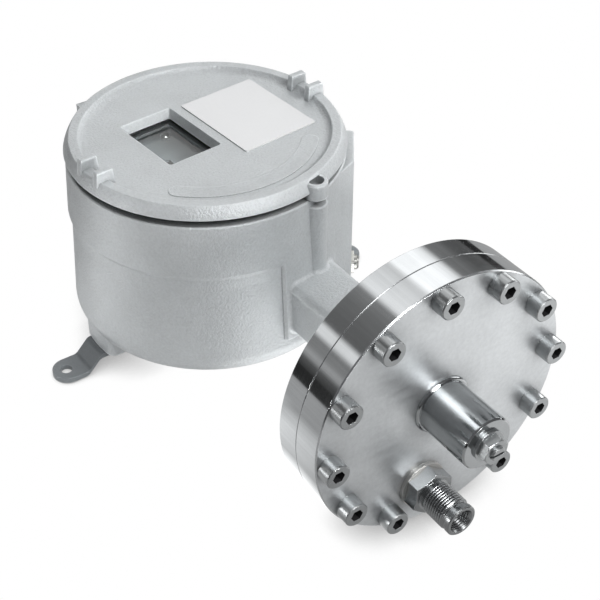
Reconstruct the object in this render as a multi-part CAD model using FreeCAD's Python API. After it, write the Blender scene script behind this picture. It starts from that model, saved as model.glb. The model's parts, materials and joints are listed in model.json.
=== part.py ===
import FreeCAD, Part
import math
import os

# Differential pressure switch: a cast housing with a screwed cover, a neck, and a bolted diaphragm cell.
# Millimetres. Z is up and is the housing's own axis. The feet stand on Z = 0 and the neck points to -Y.

# Housing casting
band_top_radius = 74.4
cast_draft_deg = 3.2
band_raise = 2.0
body_bottom_z = 16.5
body_height = 96.4
band_step_height = 66.7
band_step_run = 2.8
band_step_flare = 6.0
bottom_edge_radius = 12.0
wall_thickness = 12.4
floor_thickness = 6.5
cover_thread_depth = 15.0
cover_thread_wall = 8.4

# Neck and sensor axis
sensor_axis_x = 17.95
sensor_axis_z = 56.8
neck_width = 33.3
neck_height = 31.0
neck_drop = 4.0
neck_corner_radius = 5.0
neck_length_from_axis = 151.4
neck_bore_radius = 7.0
neck_root_radius = 2.2
neck_pad_margin = 3.6
neck_pad_chamfer = 1.4

# Cover lock column and ear
lock_angle_deg = -73.0
lock_inset = 0.7
column_radius = 6.1
column_foot_flare = 2.7
column_top_drop = 3.6
ear_radius = 6.3
ear_height = 5.3
ear_drop = 3.6
ear_hole_radius = 4.3
ear_floor_rise = 0.6
lock_screw_radius = 3.0

# Flat-faced boss of the casting on the right, the earth terminal on it, and the box on the back
side_boss_flank_deg = -67.0
side_boss_face_deg = -36.0
side_boss_raise = 4.1
side_boss_back_edge = 20.0
side_boss_sink = 0.12
side_boss_edge_radius = 2.6
side_boss_top_drop = 0.9
earth_along_face = -4.0
earth_z = 41.0
back_box_half_width = 34.0
back_box_raise = 12.1
back_box_height = 57.0
back_box_top_drop = 3.9
cable_entry_radius = 9.25
cable_entry_height = 28.0
cast_edge_radius = 2.5

# Screwed cover
cover_overhang = 0.6
cover_side_taper = 3.3
cover_gap = 4.2
cover_rim_height = 7.3
rim_side_bulge = 0.35
rim_edge_radius = 0.6
rim_width = 4.9
slope_width = 4.9
recess_depth = 3.2
cover_plate_thickness = 5.5
spigot_engagement = 9.0
spigot_wall = 8.7
thread_clearance = 0.3
seal_gap = 0.3
cover_turn_deg = 4.5
lug_spacing = 14.85
lug_thickness = 3.8
lug_inset = 4.6
lug_overhang = 1.7
lug_lean = 1.0
lug_height = 5.6
lug_edge_radius = 0.7
pad_ring_inset = 6.4
pad_ring_half_width = 4.5
pad_ring_height = 0.4
pad_ring_start_deg = -136.0
pad_ring_end_deg = -41.0

# Window and nameplate in the cover
window_x = -16.7
window_y = 8.7
window_width = 32.3
window_length = 47.3
window_draft = 1.5
window_corner_radius = 1.5
gasket_thickness = 1.0
gasket_lip = 4.2
glass_thickness = 5.0
glass_edge = 3.7
retainer_thickness = 1.5
retainer_screw_offset = 9.0
retainer_boss_radius = 4.0
nameplate_x = 28.7
nameplate_y = 3.5
nameplate_width = 46.6
nameplate_length = 58.7
nameplate_thickness = 0.6

# Mounting feet
foot_width = 17.4
foot_thickness = 3.0
foot_tip_x = 103.0
foot_hole_x = 95.4
foot_hole_radius = 3.3
foot_bend_x = 85.0
foot_upper_z = 11.3
foot_upper_end_x = 77.0
foot_root_x = 46.0
foot_bend_radius = 4.0
foot_boss_half_width = 14.5
foot_boss_overhang = 1.0
foot_boss_inner_x = 44.0
foot_boss_radius = 5.0
foot_screw_x = 66.0
foot_screw_pitch = 12.0

# Diaphragm cell
flange_radius = 73.5
inner_flange_thickness = 13.9
outer_flange_thickness = 15.8
flange_chamfer = 0.6
flange_screw_circle_radius = 66.2
flange_screw_count = 12
flange_screw_turn_deg = 4.3
flange_screw_length = 25.0
chamber_radius = 50.0
front_chamber_depth = 6.0
diaphragm_radius = 59.0
diaphragm_thickness = 1.0
plate_radius = 42.0
plate_thickness = 2.5
low_port_radius = 5.9
low_port_circle_radius = 40.0
low_port_angle_deg = -28.0

# Metric hardware
m8_radius = 4.0
m8_head_radius = 6.5
m8_head_height = 8.0
m8_socket_flats = 6.0
m8_nut_flats = 13.0
m5_radius = 2.5
m5_head_radius = 4.25
m5_head_height = 4.8
m4_radius = 2.0
m4_head_radius = 3.5
m4_head_height = 2.6
m3_radius = 1.5
m3_head_radius = 2.75
m3_head_height = 2.0
thread_gap = 0.1
screw_hole_gap = 0.5
running_gap = 0.05
touch_gap = 0.3

# Spring tube on the outer flange
tube_radius = 14.4
tube_wall = 3.4
tube_length = 33.3
tube_end_thickness = 8.0
tube_weld_width = 1.6
seat_thickness = 3.5
seat_inset = 12.4
adjuster_end = 8.2
lock_washer_radius = 8.5
lock_washer_thickness = 1.6
lock_nut_height = 5.0

# Pressure fitting
fitting_circle_radius = 49.2
fitting_angle_deg = -100.7
fitting_seal_radius = 13.0
fitting_seal_thickness = 2.0
fitting_hex_flats = 22.0
fitting_hex_length = 8.2
fitting_thread_radius = 9.0
fitting_length = 31.6
fitting_bore_radius = 5.9
fitting_mouth_radius = 6.75
fitting_end_radius = 8.7
fitting_stub_radius = 6.5
fitting_stub_length = 8.0

# Rod, lever and switch
rod_radius = 4.0
rod_travel = 0.8
rod_shoulder_height = 0.8
bush_flange_height = 0.8
stroke_clearance = 0.9
lever_y = -40.0
lever_pin_z = 36.0
lever_thickness = 3.0
lever_top_z = 92.0
lever_left_x = -30.0
lever_right_x = 32.0
lever_pin_radius = 2.0
lever_hub_radius = 4.2
sheet_thickness = 2.0
chassis_front_y = -46.0
chassis_rear_y = 44.0
cheek_height = 19.0
cheek_depth = 16.0
switch_post_x = 8.0
switch_thickness = 10.0
switch_depth = 16.0
switch_length = 28.0
switch_front_y = -34.0
switch_low_z = 62.0
plunger_z = 76.0
plunger_radius = 1.6

# Setting spindle, scale and terminals
spindle_x = -16.7
spindle_z = 84.0
spindle_radius = 3.0
spindle_front_y = -30.0
wheel_radius = 9.0
wheel_length = 6.5
range_nut_y = 3.0
range_nut_length = 10.0
range_nut_width = 12.0
range_nut_travel = 8.0
scale_z = 99.0
scale_thickness = 1.0
scale_width = 38.0
scale_front_y = -20.0
pointer_width = 2.0
terminal_x = 14.0
terminal_width = 18.0
terminal_y = 0.0
terminal_length = 40.0
terminal_height = 18.0
terminal_pitch = 11.0

# Sizes that follow from the ones above
body_top_z = body_bottom_z + body_height
draft_rate = math.tan(math.radians(cast_draft_deg))
band_step_z = body_bottom_z + band_step_height
cavity_radius = band_top_radius - wall_thickness
cavity_floor_z = body_bottom_z + floor_thickness
cover_bore_radius = band_top_radius - cover_thread_wall
cover_radius = band_top_radius + cover_overhang
cover_top_radius = cover_radius - cover_side_taper
rim_inner_radius = cover_top_radius - rim_width
recess_radius = rim_inner_radius - slope_width
lug_inner_radius = rim_inner_radius - lug_inset
lug_outer_radius = cover_top_radius + lug_overhang
pad_ring_radius = recess_radius - pad_ring_inset
lock_pitch_radius = band_top_radius - lock_inset
side_boss_face_reach = band_top_radius + side_boss_raise
back_box_face_y = band_top_radius + back_box_raise
foot_boss_reach = band_top_radius + foot_boss_overhang
tube_weld_radius = tube_radius + tube_weld_width
cover_low_z = body_top_z + cover_gap
rim_top_z = cover_low_z + cover_rim_height
recess_z = rim_top_z - recess_depth
cover_under_z = recess_z - cover_plate_thickness
spigot_radius = cover_bore_radius - thread_clearance
spigot_low_z = body_top_z - spigot_engagement
seal_radius = cover_gap / 2.0 - seal_gap
seal_circle = cover_bore_radius + seal_radius + 0.4
neck_z = sensor_axis_z - neck_drop
neck_end_y = -neck_length_from_axis
joint_y = neck_end_y - inner_flange_thickness
front_y = joint_y - outer_flange_thickness
tube_end_y = front_y - tube_length
rod_stack_height = plate_thickness + rod_shoulder_height + bush_flange_height
rear_chamber_depth = rod_stack_height + rod_travel + stroke_clearance
rear_recess_y = joint_y + rear_chamber_depth


def vec(x, y, z):
    return FreeCAD.Vector(x, y, z)


UP = vec(0, 0, 1)
DOWN = vec(0, 0, -1)
FRONT = vec(0, -1, 0)
REAR = vec(0, 1, 0)
RIGHT = vec(1, 0, 0)
LEFT = vec(-1, 0, 0)


def placed(shape, base, direction):
    """The shape, modelled along Z at the origin, turned to a direction and moved to a base point."""
    moved = shape.copy()
    moved.Placement = FreeCAD.Placement(base, FreeCAD.Rotation(UP, direction))
    return moved


def flat_face(points):
    """Face in the XZ plane. A point has two numbers, an arc four: a point on it and its end."""
    edges = []
    start = vec(points[0][0], 0, points[0][1])
    for item in points[1:] + [points[0][:2]]:
        end = vec(item[-2], 0, item[-1])
        if len(item) == 4:
            edges.append(Part.Arc(start, vec(item[0], 0, item[1]), end).toShape())
        elif (end - start).Length > 1e-6:
            edges.append(Part.makeLine(start, end))
        start = end
    return Part.Face(Part.Wire(edges))


def turned(points, base=vec(0, 0, 0), direction=UP):
    """Solid of revolution from (radius, distance along the axis) points."""
    solid = flat_face(points).revolve(vec(0, 0, 0), UP, 360)
    return placed(solid, base, direction)


def rod(radius, length, base, direction):
    return placed(Part.makeCylinder(radius, length), base, direction)


def ring(outer, inner, length, base, direction):
    body = Part.makeCylinder(outer, length).cut(Part.makeCylinder(inner, length))
    return placed(body, base, direction)


def hexagon(flats, length, base, direction, turn_deg=0.0):
    corner = flats / math.sqrt(3.0)
    points = []
    for step in range(7):
        angle = math.radians(60.0 * step + turn_deg)
        points.append(vec(corner * math.cos(angle), corner * math.sin(angle), 0))
    return placed(Part.Face(Part.makePolygon(points)).extrude(vec(0, 0, length)), base, direction)


def outline(width, height, radius):
    """Rounded rectangle wire, centred, in the XY plane."""
    x = width / 2.0
    y = height / 2.0
    k = radius * (1.0 - math.sqrt(0.5))
    edges = [
        Part.makeLine(vec(-x + radius, -y, 0), vec(x - radius, -y, 0)),
        Part.Arc(vec(x - radius, -y, 0), vec(x - k, -y + k, 0), vec(x, -y + radius, 0)).toShape(),
        Part.makeLine(vec(x, -y + radius, 0), vec(x, y - radius, 0)),
        Part.Arc(vec(x, y - radius, 0), vec(x - k, y - k, 0), vec(x - radius, y, 0)).toShape(),
        Part.makeLine(vec(x - radius, y, 0), vec(-x + radius, y, 0)),
        Part.Arc(vec(-x + radius, y, 0), vec(-x + k, y - k, 0), vec(-x, y - radius, 0)).toShape(),
        Part.makeLine(vec(-x, y - radius, 0), vec(-x, -y + radius, 0)),
        Part.Arc(vec(-x, -y + radius, 0), vec(-x + k, -y + k, 0), vec(-x + radius, -y, 0)).toShape(),
    ]
    return Part.Wire(edges)


def bar(width, height, radius, length, base, direction=UP):
    """Prism with a rounded rectangular section, centred on its base point."""
    return placed(Part.Face(outline(width, height, radius)).extrude(vec(0, 0, length)), base, direction)


def block(low, high):
    return Part.makeBox(high[0] - low[0], high[1] - low[1], high[2] - low[2], vec(*low))


def edges_where(shape, test):
    found = []
    for edge in shape.Edges:
        if test(edge, edge.CenterOfMass):
            found.append(edge)
    return found


def coil(coil_radius, wire_radius, length, turns, base, direction):
    """Open coil spring. Its wire stays inside the given length."""
    rise = length - 2.0 * wire_radius
    path = Part.Wire(Part.makeHelix(rise / turns, rise, coil_radius))
    corners = []
    for step in range(7):
        angle = math.radians(60.0 * step)
        corners.append(vec(coil_radius + wire_radius * math.cos(angle), 0, wire_radius * math.sin(angle)))
    section = Part.makePolygon(corners)
    spring = path.makePipeShell([section], True, True)
    spring.translate(vec(0, 0, wire_radius))
    return placed(Part.makeSolid(Part.Shell(spring.Faces)), base, direction)


def cap_screw(radius, head_radius, head_height, socket_flats, length, base, direction):
    """Socket screw. The base is under its head and the direction runs towards the tip."""
    body = turned(
        [
            (0, -head_height),
            (head_radius - 0.5, -head_height),
            (head_radius, -head_height + 0.5),
            (head_radius, 0),
            (radius - thread_gap, 0),
            (radius - thread_gap, length),
            (0, length),
        ]
    )
    socket = hexagon(socket_flats, head_height * 0.55, vec(0, 0, -head_height), UP)
    return placed(body.cut(socket), base, direction)


def pan_screw(radius, head_radius, head_height, length, base, direction):
    """Slotted pan-head screw. The base is under its head and the direction runs towards the tip."""
    body = turned(
        [
            (0, -head_height),
            (head_radius * 0.75, -head_height),
            (head_radius, -head_height * 0.6),
            (head_radius, 0),
            (radius - thread_gap, 0),
            (radius - thread_gap, length),
            (0, length),
        ]
    )
    slot_low = (-head_radius, -head_radius * 0.12, -head_height)
    slot_high = (head_radius, head_radius * 0.12, -head_height * 0.55)
    return placed(body.cut(block(slot_low, slot_high)), base, direction)


def hex_screw(radius, flats, head_height, length, base, direction):
    """Hexagon screw. The base is under its head and the direction runs towards the tip."""
    head = hexagon(flats, head_height, vec(0, 0, -head_height), UP)
    shank = Part.makeCylinder(radius - thread_gap, length)
    return placed(head.fuse(shank).removeSplitter(), base, direction)


def on_circle(radius, angle_deg):
    angle = math.radians(angle_deg)
    return radius * math.cos(angle), radius * math.sin(angle)


def sensor_point(radius, angle_deg, y):
    """Point on a circle round the sensor axis."""
    across, up = on_circle(radius, angle_deg)
    return vec(sensor_axis_x + across, y, sensor_axis_z + up)


def mirrored(shape):
    """The same piece on the other side of the housing."""
    return shape.mirror(vec(0, 0, 0), RIGHT)


nodes = {}


def keep(name, *solids):
    nodes[name] = solids[0] if len(solids) == 1 else Part.makeCompound(list(solids))


def band_face(z):
    """Radius of the drafted band, and of the pad round the neck, at a height."""
    return band_top_radius + (body_top_z - z) * draft_rate


def wall_face(z):
    """Radius of the drafted wall under the band at a height."""
    return band_face(z) - band_raise


# Housing: a turned cup with drafted walls, the neck and its pad, the lock column, the side boss,
# the back box and two foot bosses.
step_low_z = band_step_z - band_step_run
cup = turned(
    [
        (0, body_bottom_z),
        (wall_face(body_bottom_z), body_bottom_z),
        (wall_face(step_low_z - band_step_flare), step_low_z - band_step_flare),
        (wall_face(step_low_z) + band_raise * 0.2, step_low_z),
        (band_face(band_step_z), band_step_z),
        (band_face(body_top_z - 0.6), body_top_z - 0.6),
        (band_top_radius - 0.6, body_top_z),
        (0, body_top_z),
    ]
)


def bottom_rim(edge, middle):
    return abs(edge.BoundBox.ZMax - body_bottom_z) < 0.01


cup = cup.makeFillet(bottom_edge_radius, edges_where(cup, bottom_rim))
pad_low_z = neck_z - neck_height / 2.0 - neck_pad_margin
pad_left_x = sensor_axis_x - neck_width / 2.0 - neck_pad_margin
pad_right_x = sensor_axis_x + neck_width / 2.0 + neck_pad_margin
pad_shell = turned(
    [
        (0, pad_low_z),
        (band_face(pad_low_z), pad_low_z),
        (band_face(band_step_z), band_step_z),
        (0, band_step_z),
    ]
)
neck_start_y = -cavity_radius + 18.0
pad = pad_shell.common(
    block((pad_left_x, -band_face(pad_low_z) - 1.0, pad_low_z), (pad_right_x, neck_start_y, band_step_z))
)


def on_band(point):
    return abs(math.hypot(point.x, point.y) - band_face(point.z)) < 0.05


def pad_border(edge, middle):
    points = [vertex.Point for vertex in edge.Vertexes]
    level = abs(points[0].z - points[-1].z) < 1.0
    return all(on_band(point) for point in points) and not level


pad = pad.makeChamfer(neck_pad_chamfer, edges_where(pad, pad_border))
neck = bar(
    neck_width,
    neck_height,
    neck_corner_radius,
    neck_length_from_axis + neck_start_y,
    vec(sensor_axis_x, neck_start_y, neck_z),
    FRONT,
)
body = cup.fuse(pad).fuse(neck).removeSplitter()


def at_neck_root(edge, middle):
    points = [vertex.Point for vertex in edge.Vertexes]
    if len(points) != 2 or middle.y > 0 or not all(on_band(point) for point in points):
        return False
    across = all(abs(point.x - sensor_axis_x) < neck_width / 2.0 + 0.05 for point in points)
    upright = all(abs(point.z - neck_z) < neck_height / 2.0 + 0.05 for point in points)
    return across and upright


body = body.makeFillet(neck_root_radius, edges_where(body, at_neck_root))

# Lock column: a round post on the wall with a flared foot on the neck
lock_x, lock_y = on_circle(lock_pitch_radius, lock_angle_deg)
column_low_z = neck_z + neck_height / 2.0 - 2.0
column_top_z = body_top_z - column_top_drop
column = turned(
    [
        (0, column_low_z),
        (column_radius + column_foot_flare, column_low_z),
        (column_radius + column_foot_flare, column_low_z + 1.5),
        (column_radius + column_foot_flare * 0.3, column_low_z + 2.9, column_radius, column_low_z + 5.6),
        (column_radius, column_top_z - 0.5),
        (column_radius - 0.5, column_top_z),
        (0, column_top_z),
    ],
    vec(lock_x, lock_y, 0),
)

# Side boss on the right: its near flank leaves the wall almost at a tangent, with the wall's draft,
# and its flat upright face carries the earth terminal
side_boss_low_z = body_bottom_z + bottom_edge_radius
side_boss_top_z = body_top_z - side_boss_top_drop
side_boss_turn = math.radians(side_boss_face_deg - side_boss_flank_deg)
turn_cos = math.cos(side_boss_turn)
turn_sin = math.sin(side_boss_turn)


def side_boss_plan(z):
    """Outline of the side boss at one height, with X square to its near flank."""
    flank = wall_face(z) - side_boss_sink
    run = (side_boss_face_reach - flank * turn_cos) / turn_sin
    back_x = side_boss_face_reach * turn_cos - side_boss_back_edge * turn_sin
    back_y = side_boss_face_reach * turn_sin + side_boss_back_edge * turn_cos
    depth = side_boss_face_reach - cavity_radius
    points = [
        vec(cavity_radius, 0, z),
        vec(flank, 0, z),
        vec(flank, run, z),
        vec(back_x, back_y, z),
        vec(back_x - depth * turn_cos, back_y - depth * turn_sin, z),
        vec(cavity_radius, 0, z),
    ]
    return Part.makePolygon(points)


def side_boss_upright(edge, middle):
    ends = edge.Vertexes
    off_face = middle.x * turn_cos + middle.y * turn_sin - side_boss_face_reach
    return abs(off_face) < 0.01 and abs(ends[0].Z - ends[-1].Z) > 1.0


def on_side_face(shape):
    """Turn a shape that was built square to X onto the flat face of the side boss."""
    placed = shape.copy()
    placed.rotate(vec(0, 0, 0), UP, side_boss_face_deg)
    return placed


side_boss = Part.makeLoft([side_boss_plan(side_boss_low_z), side_boss_plan(side_boss_top_z)], True, True)
side_boss = side_boss.makeFillet(side_boss_edge_radius, edges_where(side_boss, side_boss_upright))
side_boss.rotate(vec(0, 0, 0), UP, side_boss_flank_deg)
back_top_z = body_top_z - back_box_top_drop
back_box = block(
    (-back_box_half_width, cavity_radius - 20.0, back_top_z - back_box_height),
    (back_box_half_width, back_box_face_y, back_top_z),
)


def on_back_face(edge, middle):
    return abs(middle.y - back_box_face_y) < 0.01


back_box = back_box.makeFillet(cast_edge_radius, edges_where(back_box, on_back_face))
boss_block = block(
    (-foot_boss_reach - 1.0, -foot_boss_half_width, foot_upper_z),
    (-foot_boss_inner_x, foot_boss_half_width, cavity_floor_z),
)
boss_round = Part.makeCylinder(foot_boss_reach, cavity_floor_z, vec(0, 0, 0))
foot_boss = boss_block.common(boss_round)


def boss_corner(edge, middle):
    return abs(edge.Vertexes[0].X - edge.Vertexes[-1].X) < 0.01 and middle.x < -foot_boss_inner_x - 5.0


def boss_upright(edge, middle):
    ends = edge.Vertexes
    return boss_corner(edge, middle) and abs(ends[0].Z - ends[-1].Z) > 1.0


foot_boss = foot_boss.makeFillet(foot_boss_radius, edges_where(foot_boss, boss_upright))
for piece in (column, side_boss, back_box, foot_boss, mirrored(foot_boss)):
    body = body.fuse(piece)

# Hollows and holes of the housing
cavity = turned(
    [
        (0, cavity_floor_z),
        (cavity_radius, cavity_floor_z),
        (cavity_radius, body_top_z - cover_thread_depth - 3.0),
        (cover_bore_radius, body_top_z - cover_thread_depth),
        (cover_bore_radius, body_top_z + 1.0),
        (0, body_top_z + 1.0),
    ]
)
cable_entry_z = back_top_z - cable_entry_height
floor_hole_z = body_bottom_z + 2.0
chassis_screw_points = [(-24.0, -24.0), (26.0, -22.0), (-24.0, 34.0), (4.0, 34.0)]
inner_earth_x = -47.0
inner_earth_y = 10.0
neck_screw_x = neck_width / 2.0 - neck_corner_radius + 0.15
neck_screw_z = neck_height / 2.0 - neck_corner_radius + 0.1
neck_screw_points = []
for side in (-1, 1):
    for level in (-1, 1):
        neck_screw_points.append((sensor_axis_x + side * neck_screw_x, neck_z + level * neck_screw_z))
cuts = [
    cavity,
    rod(neck_bore_radius, neck_length_from_axis, vec(sensor_axis_x, 0, sensor_axis_z), FRONT),
    rod(cable_entry_radius, back_box_face_y, vec(0, cavity_radius - 8.0, cable_entry_z), REAR),
    rod(m5_radius, 4.5, vec(inner_earth_x, inner_earth_y, floor_hole_z), UP),
    on_side_face(rod(m5_radius, 10.0, vec(side_boss_face_reach, earth_along_face, earth_z), LEFT)),
]
for x, z in neck_screw_points:
    cuts.append(rod(m5_radius, 13.5, vec(x, neck_end_y, z), REAR))
for x, y in chassis_screw_points:
    cuts.append(rod(m4_radius, 4.5, vec(x, y, floor_hole_z), UP))
foot_screw_xs = [foot_screw_x, foot_screw_x - foot_screw_pitch]
for x in foot_screw_xs:
    cuts.append(rod(m5_radius, 9.0, vec(-x, 0, foot_upper_z), UP))
    cuts.append(rod(m5_radius, 9.0, vec(x, 0, foot_upper_z), UP))
body = body.cut(cuts).removeSplitter()
keep("housing_body", body)

# Feet: bent strip with a rounded end, one on each side, held from below by two screws
low_edge = foot_upper_z - foot_thickness
slope_shift = foot_thickness * 0.45
foot = flat_face(
    [
        (-foot_root_x, foot_upper_z),
        (-foot_upper_end_x, foot_upper_z),
        (-foot_bend_x, foot_thickness),
        (-foot_tip_x - 1.0, foot_thickness),
        (-foot_tip_x - 1.0, 0),
        (-foot_bend_x - slope_shift, 0),
        (-foot_upper_end_x - slope_shift, low_edge),
        (-foot_root_x, low_edge),
    ]
).extrude(vec(0, foot_width, 0))
foot.translate(vec(0, -foot_width / 2.0, 0))


def foot_bends(edge, middle):
    across = abs(edge.Vertexes[0].Y - edge.Vertexes[-1].Y) > foot_width - 0.1
    return across and -foot_bend_x - foot_thickness < middle.x < -foot_upper_end_x + 0.1


foot = foot.makeFillet(foot_bend_radius, edges_where(foot, foot_bends))
foot_length = foot_tip_x - foot_root_x
foot_plan = bar(
    foot_length,
    foot_width,
    foot_width / 2.0 - 0.01,
    foot_upper_z + 2.0,
    vec(-foot_root_x - foot_length / 2.0, 0, -1.0),
)
foot = foot.common(foot_plan)
foot_cuts = [rod(foot_hole_radius, foot_upper_z, vec(-foot_hole_x, 0, -1.0), UP)]
for x in foot_screw_xs:
    foot_cuts.append(rod(m5_radius + screw_hole_gap / 2.0, foot_upper_z + 2.0, vec(-x, 0, 0), UP))
foot = foot.cut(foot_cuts)
keep("mounting_foot_left", foot)
keep("mounting_foot_right", mirrored(foot))
foot_screws = []
for x in foot_screw_xs:
    for side in (-1, 1):
        foot_screws.append(hex_screw(m5_radius, 8.0, 3.5, 10.5, vec(side * x, 0, low_edge), UP))
keep("foot_screws", *foot_screws)

# Outer earth terminal on the side boss, and the inner one on the housing floor
clamp_thickness = 1.8
clamp_seat = vec(side_boss_face_reach, earth_along_face, earth_z)
clamp = bar(8.5, 11.6, 1.5, clamp_thickness, clamp_seat, RIGHT)
clamp = clamp.cut(rod(m5_radius + screw_hole_gap / 2.0, 20.0, clamp_seat - RIGHT, RIGHT))
keep("earth_clamp", on_side_face(clamp))
earth_head = clamp_seat + RIGHT * clamp_thickness
keep("earth_screw", on_side_face(pan_screw(m5_radius, 4.2, 2.6, 9.8, earth_head, LEFT)))
inner_head = vec(inner_earth_x, inner_earth_y, cavity_floor_z)
keep("inner_earth_screw", hex_screw(m5_radius, 8.0, 3.5, 4.0, inner_head, DOWN))

# Cover: one casting with spigot, tapered rim, sunk face, four lugs, the lock ear and the window opening
side_low_z = cover_low_z + 0.5
side_lean = math.atan2(cover_radius - cover_top_radius, rim_top_z - side_low_z)
side_middle_x = (cover_radius + cover_top_radius) / 2.0 + rim_side_bulge * math.cos(side_lean)
side_middle_z = (side_low_z + rim_top_z) / 2.0 + rim_side_bulge * math.sin(side_lean)
slope_run = rim_inner_radius - recess_radius
slope_radius = (slope_run ** 2 + recess_depth ** 2) / (2.0 * recess_depth)
slope_half = math.asin(slope_run / slope_radius) / 2.0
slope_x = recess_radius + slope_radius * math.sin(slope_half)
slope_z = recess_z + slope_radius * (1.0 - math.cos(slope_half))
cover = turned(
    [
        (0, cover_under_z),
        (spigot_radius - spigot_wall, cover_under_z),
        (spigot_radius - spigot_wall, spigot_low_z),
        (spigot_radius, spigot_low_z),
        (spigot_radius, cover_low_z),
        (cover_radius - 0.5, cover_low_z),
        (cover_radius, side_low_z),
        (side_middle_x, side_middle_z, cover_top_radius, rim_top_z),
        (rim_inner_radius, rim_top_z),
        (slope_x, slope_z, recess_radius, recess_z),
        (0, recess_z),
    ]
)


def rim_edges(edge, middle):
    box = edge.BoundBox
    return abs(box.ZMin - rim_top_z) < 0.01 and abs(box.ZMax - rim_top_z) < 0.01


cover = cover.makeFillet(rim_edge_radius, edges_where(cover, rim_edges))
ear_low_z = cover_low_z - ear_drop
ear_top_z = cover_low_z + ear_height
ear = turned(
    [
        (0, ear_low_z),
        (ear_radius, ear_low_z),
        (ear_radius, ear_top_z - 0.8),
        (ear_radius - 0.8, ear_top_z),
        (0, ear_top_z),
    ],
    vec(lock_x, lock_y, 0),
)
seal_room = seal_circle + seal_radius + 1.0
ear = ear.cut(rod(seal_room, ear_drop, vec(0, 0, ear_low_z), UP))
lug_top_z = rim_top_z + lug_height
lug_side = flat_face(
    [
        (lug_inner_radius, recess_z - 1.0),
        (lug_inner_radius + lug_lean, lug_top_z),
        (lug_outer_radius - lug_lean, lug_top_z),
        (lug_outer_radius, (cover_low_z + rim_top_z) / 2.0),
        (lug_outer_radius - 4.0, recess_z - 1.0),
    ]
).extrude(vec(0, lug_thickness, 0))


def lug_top(edge, middle):
    return middle.z > lug_top_z - 0.01


lug_side = lug_side.makeFillet(lug_edge_radius, edges_where(lug_side, lug_top))
lugs = []
for turn in (0.0, 180.0):
    for side in (-1, 1):
        lug = lug_side.copy()
        lug.translate(vec(0, side * lug_spacing / 2.0 - lug_thickness / 2.0, 0))
        lug.rotate(vec(0, 0, 0), UP, cover_turn_deg + turn)
        lugs.append(lug)
half_angle = (pad_ring_end_deg - pad_ring_start_deg) / 2.0
pad_low_r = pad_ring_radius - pad_ring_half_width
pad_high_r = pad_ring_radius + pad_ring_half_width
raised = flat_face(
    [(pad_low_r, recess_z - 0.5), (pad_high_r, recess_z - 0.5), (pad_high_r, recess_z + pad_ring_height),
     (pad_low_r, recess_z + pad_ring_height)]
).revolve(vec(0, 0, 0), UP, 2.0 * half_angle)
raised.rotate(vec(0, 0, 0), UP, pad_ring_start_deg)
raised_ends = []
for angle in (pad_ring_start_deg, pad_ring_end_deg):
    x, y = on_circle(pad_ring_radius, angle)
    raised_ends.append(rod(pad_ring_half_width, pad_ring_height + 0.5, vec(x, y, recess_z - 0.5), UP))
window_half_w = window_width / 2.0
window_half_l = window_length / 2.0
clear_width = window_width - 2.0 * window_draft
clear_length = window_length - 2.0 * window_draft
retainer_points = [
    (window_half_w + retainer_screw_offset, 0.0),
    (-window_half_w - retainer_screw_offset, 0.0),
    (0.0, window_half_l + retainer_screw_offset),
    (0.0, -window_half_l - retainer_screw_offset),
]


def in_window(shape, z):
    """The shape, modelled at the origin, set in the window's own turned frame at a height."""
    moved = shape.copy()
    moved.Placement = FreeCAD.Placement(
        vec(window_x, window_y, z), FreeCAD.Rotation(UP, cover_turn_deg)
    ).multiply(shape.Placement)
    return moved


gasket_low_z = cover_under_z - gasket_thickness
glass_low_z = gasket_low_z - glass_thickness
retainer_low_z = glass_low_z - retainer_thickness
boss_height = cover_under_z - glass_low_z
bosses = []
boss_holes = []
for x, y in retainer_points:
    bosses.append(in_window(rod(retainer_boss_radius, boss_height + 0.5, vec(x, y, 0), UP), glass_low_z))
    boss_holes.append(in_window(rod(m4_radius, boss_height - 0.8, vec(x, y, 0), UP), glass_low_z))
window_low = outline(clear_width, clear_length, window_corner_radius)
window_high = outline(window_width, window_length, window_corner_radius)
window_high.translate(vec(0, 0, cover_plate_thickness))
window_hole = in_window(Part.makeLoft([window_low, window_high], True), cover_under_z)
ear_holes = [
    rod(ear_hole_radius, ear_height, vec(lock_x, lock_y, cover_low_z + ear_floor_rise), UP),
    rod(lock_screw_radius + running_gap, ear_drop + ear_height, vec(lock_x, lock_y, ear_low_z - 1.0), UP),
]
cover = cover.multiFuse(lugs + [ear, raised] + raised_ends + bosses)
cover = cover.cut([window_hole] + ear_holes + boss_holes).removeSplitter()
keep("cover", cover)
lock_low_z = body_top_z + touch_gap
lock_top_z = cover_low_z + ear_floor_rise - 0.2
lock_screw = rod(lock_screw_radius, lock_top_z - lock_low_z, vec(lock_x, lock_y, lock_low_z), UP)
lock_screw = lock_screw.cut(hexagon(3.0, 2.5, vec(lock_x, lock_y, lock_top_z - 2.5), UP))
keep("cover_lock_screw", lock_screw)
keep("cover_seal", Part.makeTorus(seal_circle, seal_radius, vec(0, 0, body_top_z + cover_gap / 2.0)))

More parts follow.
